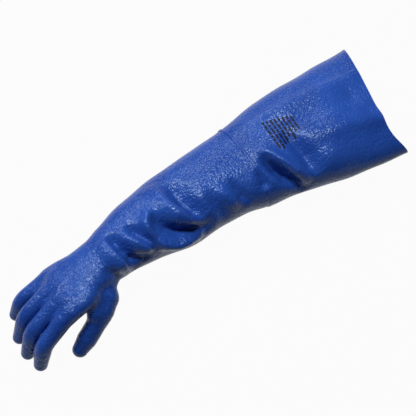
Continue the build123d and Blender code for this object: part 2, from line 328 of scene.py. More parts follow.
def surface_net(field, low, high, size):
    """Vertices and triangles of the zero surface of a field inside a box."""
    counts = np.ceil((np.asarray(high) - np.asarray(low)) / size).astype(int) + 1
    axes = [low[i] + size * np.arange(counts[i]) for i in range(3)]
    grid = np.stack(np.meshgrid(*axes, indexing="ij"), axis=-1)
    values = np.concatenate([field(part.reshape(-1, 3)) for part in grid]).reshape(counts)
    inside = values < 0
    views = [tuple(slice(c, n - 1 + c) for c, n in zip(corner, counts)) for corner in CORNERS]
    total = sum(inside[v].astype(np.int8) for v in views)
    active = (total > 0) & (total < 8)
    number = np.full(active.shape, -1)
    number[active] = np.arange(active.sum())
    corner_values = np.stack([values[v][active] for v in views])
    sums, hits = np.zeros((active.sum(), 3)), np.zeros(active.sum())
    for a in range(8):
        for b in range(a + 1, 8):
            if np.abs(CORNERS[a] - CORNERS[b]).sum() != 1:
                continue
            va, vb = corner_values[a], corner_values[b]
            crossed = (va < 0) != (vb < 0)
            t = np.where(crossed, va / np.where(crossed, va - vb, 1), 0)[:, None]
            sums += np.where(crossed[:, None], CORNERS[a] + t * (CORNERS[b] - CORNERS[a]), 0)
            hits += crossed
    vertices = (np.argwhere(active) + sums / hits[:, None]) * size + np.asarray(low)
    faces = []
    for axis in range(3):
        u, v = (axis + 1) % 3, (axis + 2) % 3
        first = [slice(0, n) for n in counts]
        first[axis] = slice(0, counts[axis] - 1)
        second = list(first)
        second[axis] = slice(1, counts[axis])
        change = inside[tuple(first)] != inside[tuple(second)]
        at = np.argwhere(change)
        at = at[(at[:, u] > 0) & (at[:, v] > 0) & (at[:, u] < counts[u] - 1) & (at[:, v] < counts[v] - 1)]
        eu, ev = np.eye(3, dtype=int)[u], np.eye(3, dtype=int)[v]
        quad = np.stack([number[tuple((at - du - dv).T)] for du, dv in
                         ((eu, ev), (0 * eu, ev), (0 * eu, 0 * ev), (eu, 0 * ev))], axis=1)
        flip = ~inside[tuple(at.T)]
        quad[flip] = quad[flip, ::-1]
        faces.append(quad)
    quads = np.concatenate(faces)
    return vertices, np.concatenate([quads[:, [0, 1, 2]], quads[:, [0, 2, 3]]])


def slide_on(field, p, times=3):
    """Moves points onto the zero surface: each step goes back by the distance."""
    for _ in range(times):
        p = p - np.clip(field(p), -0.8, 0.8)[:, None] * slope_of(field, p)
    return p


def keep_where(vertices, triangles, value, carried=()):
    """The part of a mesh where value is under 0.  Triangles that cross it are cut, and
    the arrays in carried are interpolated at the new vertices."""
    inside = value < 0
    counts = inside[triangles].sum(1)
    kept = [triangles[counts == 3]]
    edges, jobs = [], []
    for count in (1, 2):
        t = triangles[counts == count]
        odd = (inside[t] == (count == 1)).argmax(1)
        t = np.take_along_axis(t, (odd[:, None] + np.arange(3)) % 3, 1)
        jobs.append(t)
        edges += [t[:, [0, 1]], t[:, [0, 2]]]
    pairs = np.sort(np.concatenate(edges), axis=1)
    unique, back = np.unique(pairs, axis=0, return_inverse=True)
    back = back.ravel()
    a, b = unique.T
    t = value[a] / (value[a] - value[b])
    arrays = []
    for array in (vertices, *carried):
        s = t if array.ndim == 1 else t[:, None]
        arrays.append(np.concatenate([array, array[a] + s * (array[b] - array[a])]))
    new = len(vertices) + back
    n1, n2 = len(jobs[0]), len(jobs[1])
    ab1, ac1, ab2, ac2 = new[:n1], new[n1:2 * n1], new[2 * n1:2 * n1 + n2], new[2 * n1 + n2:]
    kept.append(np.stack([jobs[0][:, 0], ab1, ac1], axis=1))
    kept.append(np.stack([ab2, jobs[1][:, 1], jobs[1][:, 2]], axis=1))
    kept.append(np.stack([ab2, jobs[1][:, 2], ac2], axis=1))
    triangles = np.concatenate(kept)
    used, triangles = np.unique(triangles, return_inverse=True)
    triangles = triangles.reshape(-1, 3)
    arrays = [array[used] for array in arrays]
    good = (np.diff(np.sort(triangles, axis=1), axis=1) > 0).all(1)      # three different corners
    return (arrays[0], triangles[good], *arrays[1:])


def add_piece(name, vertices, faces, material, slot):
    """Makes a mesh object from points in millimetres, at the origin, in metres.  Edges
    with only one face are marked sharp, so a rim isn't shaded as part of the skin."""
    mesh = bpy.data.meshes.new(name)
    mesh.from_pydata((np.asarray(vertices) * MM).tolist(), [], np.asarray(faces).tolist())
    mesh.polygons.foreach_set("use_smooth", np.full(len(mesh.polygons), True))
    mesh.materials.append(material)
    mesh.update()
    ends = np.zeros(len(mesh.loops), int)
    mesh.loops.foreach_get("edge_index", ends)
    open_edge = np.bincount(ends, minlength=len(mesh.edges)) == 1
    sharp = mesh.attributes.new("sharp_edge", "BOOLEAN", "EDGE")
    sharp.data.foreach_set("value", open_edge)
    piece = bpy.data.objects.new(name, mesh)
    bpy.context.scene.collection.objects.link(piece)
    print(f"{name}: {len(vertices)} vertices, {len(faces)} faces")
    return piece


def give_wall(piece, thickness):
    """Solidify adds the inner wall and the rim, so the piece has the sheet's real thickness."""
    wall = piece.modifiers.new("wall", "SOLIDIFY")
    wall.thickness = thickness * MM
    wall.offset = -1.0
    wall.use_even_offset = False
    return piece


print("mesh tools ready")

# %% [markdown]
# ## Folds
#
# Slack coat gathers in folds on the thumb's side of the arm.  A fold is a line drawn on
# the skin with a height at each point: the skin rises or sinks along its own normal by
# the height times exp(-(distance / width)^2).  The width differs between the two sides
# of the line, since a real fold has one steep and one gentle flank.

# %% Fold lines of the gauntlet
# each fold: its widths in mm toward the arm and toward the hand, then (x, y, z, height)
FOLDS = []
DEPTH = 1.5             # all folds together, deeper or shallower


def fold_height(p, normal):
    """How far the skin moves outward at each point: the sum over all folds."""
    total = np.zeros(len(p))
    for (arm_width, hand_width), line in FOLDS:
        best, height, side = np.full(len(p), 1e9), np.zeros(len(p)), np.zeros(len(p))
        for a, b in zip(line[:-1], line[1:]):
            d = b[:3] - a[:3]
            t = np.clip((p - a[:3]) @ d / (d @ d), 0, 1)
            off = p - a[:3] - t[:, None] * d
            away = np.linalg.norm(off, axis=1)
            closer = away < best
            best[closer] = away[closer]
            height[closer] = (a[3] + t * (b[3] - a[3]))[closer]
            turn = np.einsum("ij,ij->i", off, np.cross(normal, unit(d)))
            side[closer] = (turn / np.maximum(away, 1e-6))[closer]
        width = hand_width + (arm_width - hand_width) * step(-0.7, 0.7, side)
        total += height * np.exp(-(best / width) ** 2)
    return total


def fold(arm_width, hand_width, *points):
    """Adds one fold; the points are (x, y, z, height)."""
    FOLDS.append(((arm_width, hand_width), np.array(points, float) * [1, 1, 1, DEPTH]))


# next to the wrist: a lit crest, the valley behind it and the pocket under its lower end
fold(7, 13, (-150, -4, 90, 0), (-150, -15, 92, 3), (-146, -36, 90, 5.5), (-142, -49, 82, 6.5),
     (-138, -55, 70, 2))
fold(8, 7, (-139, -2, 90, 0), (-137, -18, 92, -6), (-132, -35, 89, -8.5), (-126, -49, 77, -7.5),
     (-123, -53, 64, -2))
fold(7, 8, (-168, -45, 87, 0), (-161, -53, 83, -3), (-153, -58, 75, -4), (-146, -58, 62, -2))
# the next crest up the arm, its valley and its pocket
fold(7, 11, (-127, -11, 92, 0), (-121, -20, 91, 3), (-110, -34, 87, 5.5), (-100, -44, 79, 6.5),
     (-95, -48, 72, 2))
fold(8, 6, (-114, -5, 92, 0), (-108, -16, 92, -4.5), (-98, -31, 88, -6), (-89, -42, 79, -4.5),
     (-83, -48, 70, 0))
fold(7, 7, (-126, -45, 82, 0), (-117, -49, 75, -3.5), (-106, -50, 70, -3.5), (-94, -50, 66, -1))
# the large fold in the middle of the gauntlet: crest, valley, pocket and the ridge that
# curls round it
fold(9, 15, (-44, 39, 80, 0), (-48, 25, 86, 2.5), (-49, 9, 89, 5), (-47, -7, 89, 7), (-39, -23, 86, 8),
     (-29, -36, 79, 7), (-18, -44, 71, 2))
fold(18, 8, (-29, 27, 85, 0), (-29, 11, 88, -4.5), (-27, -10, 88, -7.5), (-19, -29, 82, -7),
     (-9, -42, 71, -3))
fold(8, 9, (-72, -7, 91, -1), (-70, -20, 89, -5), (-63, -32, 85, -8), (-51, -42, 78, -9.5),
     (-32, -47, 70, -8.5), (-10, -49, 60, -5), (5, -48, 57, 0))
fold(8, 8, (-67, 4, 90, 0), (-77, -5, 91, 4), (-86, -15, 91, 6), (-90, -29, 88, 6), (-86, -41, 80, 6),
     (-74, -49, 70, 6.5), (-57, -52, 63, 7), (-40, -52, 62, 7), (-24, -52, 59, 4))
# softer waves between the large fold and the round weld
fold(10, 10, (-3, -2, 87, 0), (0, -19, 83, 0.8), (3, -35, 75, 1), (7, -45, 63, 0.8), (11, -48, 47, 0))
fold(10, 8, (12, -9, 85, 0), (14, -28, 78, -2.5), (19, -41, 66, -2.5), (28, -47, 48, 0))
fold(8, 9, (26, -6, 84, 0), (32, -24, 78, 2.5), (39, -37, 68, 3), (46, -44, 55, 0))
fold(7, 6, (48, -7, 83, 0), (51, -23, 77, -3), (55, -36, 68, -4), (62, -44, 55, 0))
print("gauntlet folds:", len(FOLDS))

# %% Folds of the sleeve at the elbow
fold(7, 8, (107, 1, 84, 0), (109, -13, 82, -7), (114, -27, 78, -12), (122, -41, 70, -13),
     (132, -51, 60, -9), (146, -58, 39, 0))
fold(8, 9, (102, 20, 84, 0), (111, 7, 84, 2.5), (121, -9, 83, 4.5), (131, -25, 80, 6),
     (140, -39, 73, 6.5), (148, -49, 65, 4), (155, -57, 54, 0))
fold(16, 8, (149, 21, 87, 0), (152, 5, 87, -4), (156, -13, 84, -6.5), (160, -29, 80, -7),
     (161, -42, 73, -5), (166, -55, 62, 0))
fold(7, 6, (90, -12, 81, 0), (90, -24, 77, -3), (90, -35, 71, -4), (92, -42, 64, 0))
fold(16, 18, (188, -28, 81, 0), (195, -44, 75, 1.6), (206, -58, 66, 1.6), (220, -69, 53, 0))
# a soft crease runs along the sleeve, from the weld to the opening
fold(9, 12, (86, 61, 72, 0), (133, 57, 81, 1.2), (170, 57, 83, 1.7), (205, 56, 82, 1.9),
     (249, 54, 79, 2), (287, 55, 74, 2.2))
fold(14, 14, (113, 37, 84, 0), (154, 29, 87, -1.4), (201, 25, 86, -2), (264, 20, 80, -1.8))
fold(13, 13, (165, -6, 86, 0), (210, -13, 84, 2), (257, -18, 78, 2.6), (297, -24, 72, 3))
print("all folds:", len(FOLDS))


def folded(p, normal):
    """Points of the skin after folding, with a faint slow waviness that all soft sheet has."""
    wave = (0.5 * np.sin(p[:, 0] / 17.0 + 0.6 * np.sin(p[:, 1] / 21.0)) * np.sin(p[:, 1] / 19.0 + 1.0)
            + 0.35 * np.sin(p[:, 0] / 9.5 + p[:, 2] / 13.0 + 2.0))
    arm = step(-170.0, -120.0, p[:, 0])
    moved = p + (fold_height(p, normal) + wave * arm)[:, None] * normal
    moved[:, 2] = np.maximum(moved[:, 2], np.minimum(p[:, 2], 0.0))
    return moved


# %% [markdown]
# ## Skin of the gauntlet, the hand and the fingers
#
# One surface net covers the gauntlet and the hand, and it is then cut where the pieces
# meet: square to the arm at the round weld, across the heel of the hand, and round each
# finger's root.  Both sides of a cut share their vertices, so no line shows.  Each finger
# gets a finer net of its own.  A piece crosses one joint at most.

# %% Cut surfaces
HEEL = 30.0                     # from the wrist to the cut across the hand
ROOT_CUT = 9.0                  # from a knuckle back to the cut round its finger
ROOT_START = 12.0               # from a knuckle back to where its finger's net starts
THUMB_CUT = 9.5
THUMB_REACH = 24.0              # half width of the space that belongs to the thumb
WELD_AT = 31.1                  # from the elbow to the round weld


def finger_zone(p, name):
    """Positive inside the space of one finger: past its root cut and between the planes
    midway to its neighbours.  The thumb's tip lies past the index finger's root cut too, so
    what is within reach of the thumb's middle line is left to the thumb."""
    f, thumb = fingers[name], fingers["thumb"]
    inside = (p - f["knuckle"]) @ f["root"] + (THUMB_CUT if name == "thumb" else ROOT_CUT)
    reach = THUMB_REACH - np.minimum(
        rod(p, thumb["knuckle"] - ROOT_START * thumb["root"], thumb["middle"], 0, 0),
        rod(p, thumb["middle"], thumb["tip"], 0, 0))
    if name == "thumb":
        return np.minimum(inside, reach)
    if name == "index":
        inside = np.minimum(inside, -reach)
    for a, b in PAIRS:
        middle, normal, _ = middles[a, b]
        if a == name:
            inside = np.minimum(inside, -(p - middle) @ normal)
        if b == name:
            inside = np.minimum(inside, (p - middle) @ normal)
    return inside


def any_finger(p):
    """Positive inside any finger's space."""
    return np.max([finger_zone(p, name) for name in fingers], axis=0)


own = [bool(finger_zone(f["knuckle"][None], name)[0] > 0) for name, f in fingers.items()]
print("knuckles that lie in their own finger's space:", own)

# %% The net of the gauntlet and the hand
ARM_NET, FINGER_NET, LINING_NET = 1.7, 1.3, 3.0         # sizes of the nets' boxes
arm_low, arm_high = np.array([-252.0, -122.0, -3.0]), np.array([100.0, 96.0, 100.0])
skin, skin_faces = surface_net(skin_field, arm_low, arm_high, ARM_NET)
skin = slide_on(skin_field, skin)
skin_start = skin               # before the folds, for the cuts
skin = folded(skin, slope_of(skin_field, skin))
print("skin net:", len(skin), "vertices")

# %% [markdown]
# ## Materials
#
# Dipped PVC is glossy, but its surface is crinkled: small pebbles on the arm, longer
# swirls on the hand, and each throws its own small highlight.  The crinkle is a bump made
# of warped noise.  It is a node group, because every skin uses it with other sizes.  A
# second group makes the colour, which is a little darker and less even where the coat is
# thin, and paler on rubbed edges.

# %% Node helpers
def fill(tree, node, inputs):
    """Sets inputs of a node, by name or number: a socket is linked, else it's a constant."""
    for socket, value in inputs.items():
        if isinstance(value, bpy.types.NodeSocket):
            tree.links.new(value, node.inputs[socket])
        else:
            node.inputs[socket].default_value = value
    return node


def new_node(tree, kind, inputs, **settings):
    """A new shader node of a kind, with its other settings and its inputs."""
    node = tree.nodes.new("ShaderNode" + kind)
    for name, value in settings.items():
        setattr(node, name, value)
    return fill(tree, node, inputs)


def group(name, inputs, outputs):
    """A new shader node group with named inputs (name, default) and outputs (name, kind)."""
    tree = bpy.data.node_groups.new(name, "ShaderNodeTree")
    for label, default in inputs:
        kind = "NodeSocketColor" if isinstance(default, tuple) else "NodeSocketFloat"
        socket = tree.interface.new_socket(name=label, in_out="INPUT", socket_type=kind)
        socket.default_value = default
    for label, kind in outputs:
        tree.interface.new_socket(name=label, in_out="OUTPUT", socket_type=kind)
    return tree, tree.nodes.new("NodeGroupInput"), tree.nodes.new("NodeGroupOutput")


def new_material(name):
    """A material with its node tree and its shader."""
    material = bpy.data.materials.new(name)
    material.use_nodes = True
    return material, material.node_tree, material.node_tree.nodes["Principled BSDF"]


def object_place(tree):
    """The place of a point in the object's own coordinates, in metres."""
    return new_node(tree, "TexCoord", {}).outputs["Object"]


def math_node(tree, operation, a, b):
    """Two values, added, multiplied and so on."""
    return new_node(tree, "Math", {0: a, 1: b}, operation=operation).outputs[0]


def vector_math(tree, operation, inputs):
    """Two vectors, or a vector and a number, in one operation."""
    return new_node(tree, "VectorMath", inputs, operation=operation).outputs[0]


def noise(tree, vector, scale, detail, roughness=0.5, distortion=0.0, output="Fac"):
    """Noise with scale repeats per metre."""
    return new_node(tree, "TexNoise", {"Vector": vector, "Scale": scale, "Detail": detail,
                                       "Roughness": roughness, "Distortion": distortion}).outputs[output]


def map_range(tree, value, from_min, from_max, to_min=0.0, to_max=1.0):
    """A value moved from one range to another, where it stops at the ends."""
    return new_node(tree, "MapRange", {"Value": value, "From Min": from_min, "From Max": from_max,
                                       "To Min": to_min, "To Max": to_max}).outputs[0]


def mix_colour(tree, amount, a, b):
    """Colour a where amount is 0, colour b where it is 1."""
    node = new_node(tree, "Mix", {}, data_type="RGBA")
    return fill(tree, node, {"Factor": amount, 6: a, 7: b}).outputs[2]


def add_bump(tree, shader, height, strength, relief):
    """Bump on a shader: relief is how high, in metres, a height of 1 stands."""
    bump = new_node(tree, "Bump", {"Height": height, "Strength": strength, "Distance": relief})
    tree.links.new(bump.outputs["Normal"], shader.inputs["Normal"])


print("node helpers ready")

# %% The crinkle of dipped PVC
crinkle, g_in, g_out = group("pvc_crinkle",
                             [("Scale", 400.0), ("Swirl", 0.5), ("Fine Scale", 900.0), ("Fine Amount", 0.3)],
                             [("Height", "NodeSocketFloat"), ("Peaks", "NodeSocketFloat")])
where = object_place(crinkle)
warp = noise(crinkle, where, 110.0, 1.0, output="Color")
warp = vector_math(crinkle, "SUBTRACT", {0: warp, 1: (0.5, 0.5, 0.5)})
swirl = math_node(crinkle, "MULTIPLY", g_in.outputs["Swirl"], 0.012)
warped = vector_math(crinkle, "ADD", {0: where, 1: vector_math(crinkle, "SCALE", {0: warp, "Scale": swirl})})
coarse = noise(crinkle, warped, g_in.outputs["Scale"], 1.5, 0.45)
ridge = math_node(crinkle, "ABSOLUTE", math_node(crinkle, "SUBTRACT", coarse, 0.5), 0.0)
ridge = math_node(crinkle, "SUBTRACT", 0.5, math_node(crinkle, "MULTIPLY", ridge, 2.2))
fine = noise(crinkle, where, g_in.outputs["Fine Scale"], 2.0, 0.55)
height = math_node(crinkle, "ADD", ridge, math_node(crinkle, "MULTIPLY", fine, g_in.outputs["Fine Amount"]))
fill(crinkle, g_out, {"Height": height, "Peaks": ridge})
print("group", crinkle.name, [s.name for s in crinkle.interface.items_tree])

# %% The colour of dipped PVC
tint, t_in, t_out = group("pvc_colour",
                          [("Deep", (0.01, 0.03, 0.2, 1.0)), ("Full", (0.02, 0.07, 0.4, 1.0)),
                           ("Worn", (0.1, 0.16, 0.5, 1.0)), ("Wear", 0.3)],
                          [("Colour", "NodeSocketColor"), ("Dullness", "NodeSocketFloat")])
where = object_place(tint)
patches = map_range(tint, noise(tint, where, 14.0, 3.0, 0.55, 0.4), 0.3, 0.7)
body_colour = mix_colour(tint, patches, t_in.outputs["Deep"], t_in.outputs["Full"])
edges = map_range(tint, new_node(tint, "NewGeometry", {}).outputs["Pointiness"], 0.52, 0.62)
rubbed = math_node(tint, "MULTIPLY", edges, t_in.outputs["Wear"])
fill(tint, t_out, {"Colour": mix_colour(tint, rubbed, body_colour, t_in.outputs["Worn"]),
                   "Dullness": noise(tint, where, 45.0, 4.0, 0.6)})
print("group", tint.name)


# %% PVC, as the pieces use it
def pvc(name, scale, swirl, fine, strength, roughness, wear=0.25, relief=0.0006):
    """Glossy PVC: colour and dullness from one group, crinkle from the other.  Scale,
    swirl and fine shape the crinkle; roughness is its range from shiny to dull spots."""
    material, tree, shader = new_material(name)
    colour = new_node(tree, "Group", {"Deep": DEEP, "Full": FULL, "Wear": wear}, node_tree=tint)
    bumps = new_node(tree, "Group", {"Scale": scale, "Swirl": swirl, "Fine Amount": fine}, node_tree=crinkle)
    dull = map_range(tree, colour.outputs["Dullness"], 0.3, 0.7, *roughness)
    fill(tree, shader, {"Base Color": colour.outputs["Colour"], "Roughness": dull,
                        "Specular IOR Level": 0.33, "Specular Tint": (0.65, 0.85, 1.0, 1.0)})
    add_bump(tree, shader, bumps.outputs["Height"], strength, relief)
    return material


DEEP, FULL = (0.012, 0.052, 0.290, 1.0), (0.020, 0.080, 0.385, 1.0)
sleeve_pvc = pvc("sleeve_pvc", 180.0, 0.3, 0.05, 0.8, (0.23, 0.32), relief=0.0009)
gauntlet_pvc = pvc("gauntlet_pvc", 170.0, 0.5, 0.05, 0.8, (0.23, 0.32), relief=0.0011)
hand_pvc = pvc("hand_pvc", 150.0, 0.9, 0.05, 0.8, (0.24, 0.33), relief=0.0012)
weld_pvc = pvc("weld_pvc", 500.0, 0.2, 0.3, 0.25, (0.24, 0.34), wear=0.4)
print("PVC materials:", [m.name for m in (sleeve_pvc, gauntlet_pvc, hand_pvc, weld_pvc)])

# %% [markdown]
# The lining is knitted fleece, which shows only inside the arm opening.  Its knit is a
# band of waves, bent a little by noise, and its fuzz is fine noise and sheen.

# %% Fleece and ink
def fleece(name, colour, dark, pitch):
    """Knitted fleece: a bent band of waves as bump and shade, with fuzz on top."""
    material, tree, shader = new_material(name)
    where = object_place(tree)
    loops = new_node(tree, "TexWave", {"Vector": where, "Scale": pitch, "Distortion": 2.0,
                                       "Detail": 1.0, "Detail Scale": 6.0},
                     wave_type="BANDS", bands_direction="X").outputs["Fac"]
    fuzz = math_node(tree, "MULTIPLY", noise(tree, where, 1400.0, 3.0, 0.7), 0.8)
    fill(tree, shader, {"Base Color": mix_colour(tree, loops, dark, colour),
                        "Roughness": 0.95, "Sheen Weight": 0.3})
    add_bump(tree, shader, math_node(tree, "ADD", loops, fuzz), 0.6, 0.0008)
    return material


lining_fleece = fleece("lining_fleece", (0.70, 0.68, 0.60, 1.0), (0.45, 0.43, 0.37, 1.0), 120.0)
hem_fleece = fleece("hem_fleece", (0.62, 0.61, 0.56, 1.0), (0.38, 0.37, 0.33, 1.0), 160.0)

ink, tree, shader = new_material("black_ink")
ink_wear = noise(tree, object_place(tree), 700.0, 3.0, 0.6)
ink_colour = mix_colour(tree, ink_wear, (0.004, 0.004, 0.012, 1.0), (0.016, 0.018, 0.05, 1.0))
fill(tree, shader, {"Base Color": ink_colour, "Roughness": 0.5, "Specular IOR Level": 0.15})
print("fabrics and ink ready")

# %% [markdown]
# ## Pieces of the forearm and the hand
#
# The skin net is cut into a gauntlet and a hand, which stays stiff on the hand's body.
# Solidify then gives each its real wall.  The gauntlet keeps its lining as a piece
# of its own, since it can be seen through the arm opening.

# %% Gauntlet and hand skins
# walls in mm; where the lining is no piece of its own, it counts with the coat
COAT_WALL, LINING_WALL, HAND_WALL, FINGER_WALL, SLEEVE_WALL = 1.2, 2.4, 4.4, 3.6, 1.0
WELD_HALF_WIDTH = 65.5


def weld_slant(side):
    """The round weld isn't quite square to the arm: how far it sits back at one side."""
    return 6.0 * side / WELD_HALF_WIDTH


past_weld = WELD_AT - weld_slant((skin_start - elbow) @ sideways) - (skin_start - elbow) @ forward
past_heel = (skin_start - wrist) @ hand_x - HEEL
in_finger = any_finger(skin_start)
v, f, heel, _ = keep_where(skin, skin_faces, past_weld, (past_heel, in_finger))
v, f = keep_where(v, f, heel)
gauntlet_skin = give_wall(add_piece("gauntlet_skin", v, f, gauntlet_pvc, "pvc_coat"), COAT_WALL)
v, f, fingers_at = keep_where(skin, skin_faces, -past_heel, (in_finger,))
v, f = keep_where(v, f, fingers_at)
hand_skin = give_wall(add_piece("hand_skin", v, f, hand_pvc, "pvc_coat"), HAND_WALL)

# %% Finger skins
finger_pieces = {}
for name, finger in fingers.items():
    spots = np.array([finger["knuckle"] - ROOT_START * finger["root"],
                      finger["knuckle"], finger["middle"], finger["tip"]])
    low, high = spots.min(0) - 22.0, spots.max(0) + 22.0
    low[2] = max(low[2], -3.0)
    field = lambda p, focus=name: skin_field(p, focus)
    v, f = surface_net(field, low, high, FINGER_NET)
    v = slide_on(field, v)
    zone = -finger_zone(v, name)
    v = folded(v, slope_of(field, v))
    v, f = keep_where(v, f, zone)
    cut_at = (v - (finger["knuckle"] + finger["middle"]) / 2) @ finger["first"]
    finger_pieces[name] = [
        give_wall(add_piece(name + part, *keep_where(v, f, side), hand_pvc, "pvc_coat"), FINGER_WALL)
        for part, side in (("_root_skin", cut_at), ("_end_skin", -cut_at))]

# %% [markdown]
# ## Lining
#
# The lining follows the coat from inside: it is the surface a little inside the skin,
# with the same folds.  Its upper end has a hem just below the round weld.

# %% Lining of the gauntlet
LINING_INSET = 2.0
inner_field = lambda p: skin_field(p) + LINING_INSET
v, f = surface_net(inner_field, arm_low * [0, 1, 1] + [-200.0, 0, 0], arm_high, LINING_NET)
v = slide_on(inner_field, v)
top_end = 38.0 - (v - elbow) @ forward
hand_end = (v - wrist) @ hand_x - 29.0
v = folded(v, slope_of(inner_field, v))
v, f, hand_end = keep_where(v, f, top_end, (hand_end,))
v, f = keep_where(v, f, hand_end)
gauntlet_lining = give_wall(add_piece("gauntlet_lining", v, f, lining_fleece, "insulation"), LINING_WALL)

# %% Bands round the gauntlet: the weld and the hem
def oval_point(centre, across, upward, half_w, half_h, angle, power=BOXY):
    """Point of an oval: centre + across w cos^(2/n) + upward h sin^(2/n), signs kept."""
    c, s = np.cos(angle), np.sin(angle)
    a = np.sign(c) * np.abs(c) ** (2 / power) * half_w
    b = np.sign(s) * np.abs(s) ** (2 / power) * half_h
    return centre + across * a[..., None] + upward * b[..., None]


def grid_normals(p, closed):
    """Unit normals of a grid of points: the cross product of its two sets of lines."""
    along = np.gradient(p, axis=0)
    around = (np.roll(p, -1, 1) - np.roll(p, 1, 1)) if closed else np.gradient(p, axis=1)
    n = np.cross(around, along)
    return n / np.maximum(np.linalg.norm(n, axis=-1, keepdims=True), 1e-9)


def grid_faces(rows, columns, closed_rows, closed_columns):
    """Quads of a grid whose rows and columns may each be closed into a ring."""
    i, j = np.meshgrid(np.arange(rows if closed_rows else rows - 1),
                       np.arange(columns if closed_columns else columns - 1), indexing="ij")
    a, b = i * columns + j, ((i + 1) % rows) * columns + j
    c, d = ((i + 1) % rows) * columns + (j + 1) % columns, i * columns + (j + 1) % columns
    return np.stack([a, d, c, b], axis=-1).reshape(-1, 4)


def gauntlet_point(along, angle):
    """Point of the unfolded gauntlet at a distance from the elbow and an angle."""
    c = stations(GAUNTLET, along)
    centre = elbow * [1, 1, 0] + forward * along[..., None] + sideways * c[..., :1] + up * c[..., 1:2]
    p = oval_point(centre, sideways, up, c[..., 2], c[..., 3], angle)
    p[..., 2] = np.maximum(p[..., 2], 0.0)
    return p


def band(name, middle, half_width, height, thickness, material, slot):
    """Closed ring round the gauntlet.  Its section is a flat ellipse: half_width along
    the arm, thickness across the skin, with its middle at that height over the skin."""
    around, section = np.meshgrid(np.linspace(0, 2 * np.pi, 240, endpoint=False),
                                  np.linspace(0, 2 * np.pi, 16, endpoint=False), indexing="ij")
    slant = weld_slant(WELD_HALF_WIDTH * np.cos(around))
    along = middle - slant + half_width * np.cos(section)
    p = gauntlet_point(along, around)
    ring = gauntlet_point(middle - slant, around)
    outward = slope_of(gauntlet_field, ring.reshape(-1, 3))
    p = folded(p.reshape(-1, 3), outward) + (height + thickness * np.sin(section)).reshape(-1, 1) * outward
    p[:, 2] = np.maximum(p[:, 2], 0.02)
    return add_piece(name, p, grid_faces(*around.shape, True, True), material, slot)


weld_ring = band("weld_ring", WELD_AT, 2.2, 0.2, 0.9, weld_pvc, "weld")
lining_hem = band("lining_hem", WELD_AT + 8.0, 6.0, -4.4, 1.5, hem_fleece, "liner")

# %% [markdown]
# ## Sleeve
#
# The sleeve is one sheet, so it is one grid: lines along the arm, lines round it.  Its
# ovals grow flatter and more pointed toward the opening, as a flat-lying tube's do, and
# the opening leans back.  The elbow's folds lie in it.

# %% Sleeve surface
CUFF_LEAN = math.radians(10.0)
TURN_LENGTH = 62.0      # past the weld the sleeve turns, over this length, to lie along X
RIM_HALF_WIDTH = 95.0
weld_middle = elbow * [1, 1, 0] + forward * WELD_AT + up * 40.9
# distance from the weld, centre x y z, half width, half height, power of the oval
SLEEVE = np.array([
    (0.0, *weld_middle, WELD_HALF_WIDTH, 42.5, 2.2),
    (61.7, elbow[0] + 31.0, elbow[1] - 0.5, 42.9, 77.0, 44.5, 2.2),
    (127.7, elbow[0] + 97.0, elbow[1] - 3.0, 42.4, 87.0, 44.0, 2.1),
    (216.7, elbow[0] + 186.0, elbow[1], 36.4, 95.5, 38.0, 1.9),
])
SLEEVE_LENGTH = SLEEVE[-1, 0]


def rim_curve(side):
    """How far the rim stands out at each side: it hangs back between its two corners."""
    sides, stands_out = (-1.0, -0.8, -0.4, 0.0, 1.0), (-1.0, -8.0, -8.0, -3.0, 11.0)
    return smooth_curve(side.ravel(), sides, stands_out).reshape(side.shape)


def sleeve_point(along, angle):
    """Point of the unfolded sleeve at a distance from the weld and an angle round it."""
    c = stations(SLEEVE, along)
    turn = 1 - step(0.0, TURN_LENGTH, along)[..., None]
    across = sideways * turn + np.array([0, 1.0, 0]) * (1 - turn)
    lean = CUFF_LEAN * step(0.5, 1.0, along / SLEEVE_LENGTH)[..., None]
    upward = up * np.cos(lean) - np.array([1.0, 0, 0]) * np.sin(lean)
    p = oval_point(c[..., :3], across, upward, c[..., 3], c[..., 4], angle, c[..., 5])
    side = (p[..., 1] - c[..., 1]) / RIM_HALF_WIDTH
    p[..., 0] += step(0.45, 1.0, along / SLEEVE_LENGTH) * rim_curve(side)
    p -= forward * (weld_slant((p - weld_middle) @ sideways) * turn[..., 0])[..., None]
    low = p[..., 2]
    p[..., 2] = np.where(low < 1.0, 0.25 * (np.maximum(low, -1.0) + 1.0) ** 2, low)
    return p


def sleeve_skin_at(along, angle, raised=0.0):
    """Folded sleeve surface, raised by some height along its normal."""
    h, turn = 0.4, 0.004            # small steps for the slopes
    p = sleeve_point(along, angle)
    d_along = (sleeve_point(np.minimum(along + h, SLEEVE_LENGTH), angle)
               - sleeve_point(np.maximum(along - h, 0), angle))
    d_angle = sleeve_point(along, angle + turn) - sleeve_point(along, angle - turn)
    n = np.cross(d_angle, d_along).reshape(-1, 3)
    n = -n / np.maximum(np.linalg.norm(n, axis=1, keepdims=True), 1e-9)
    flat = p.reshape(-1, 3)
    middle = stations(SLEEVE, along)[..., :3].reshape(-1, 3)
    n[((flat - middle) * n).sum(1) < 0] *= -1
    out = folded(flat, n) + np.asarray(raised).reshape(-1, 1) * n
    out[:, 2] = np.maximum(out[:, 2], 0.0)
    return out


def ring_grid(along, columns):
    """Grid of places along a tube and angles round it."""
    return np.meshgrid(along, np.linspace(0, 2 * np.pi, columns, endpoint=False), indexing="ij")


along, angle = ring_grid(np.linspace(0, SLEEVE_LENGTH, 116), 272)
sleeve_skin = add_piece("sleeve_skin", sleeve_skin_at(along, angle),
                        grid_faces(*along.shape, False, True), sleeve_pvc, "pvc_sleeve")
give_wall(sleeve_skin, SLEEVE_WALL)

# %% Lengthwise weld of the sleeve
SEAM_OFF = 40.0                 # from the sleeve's middle to the seam, on the little finger's side


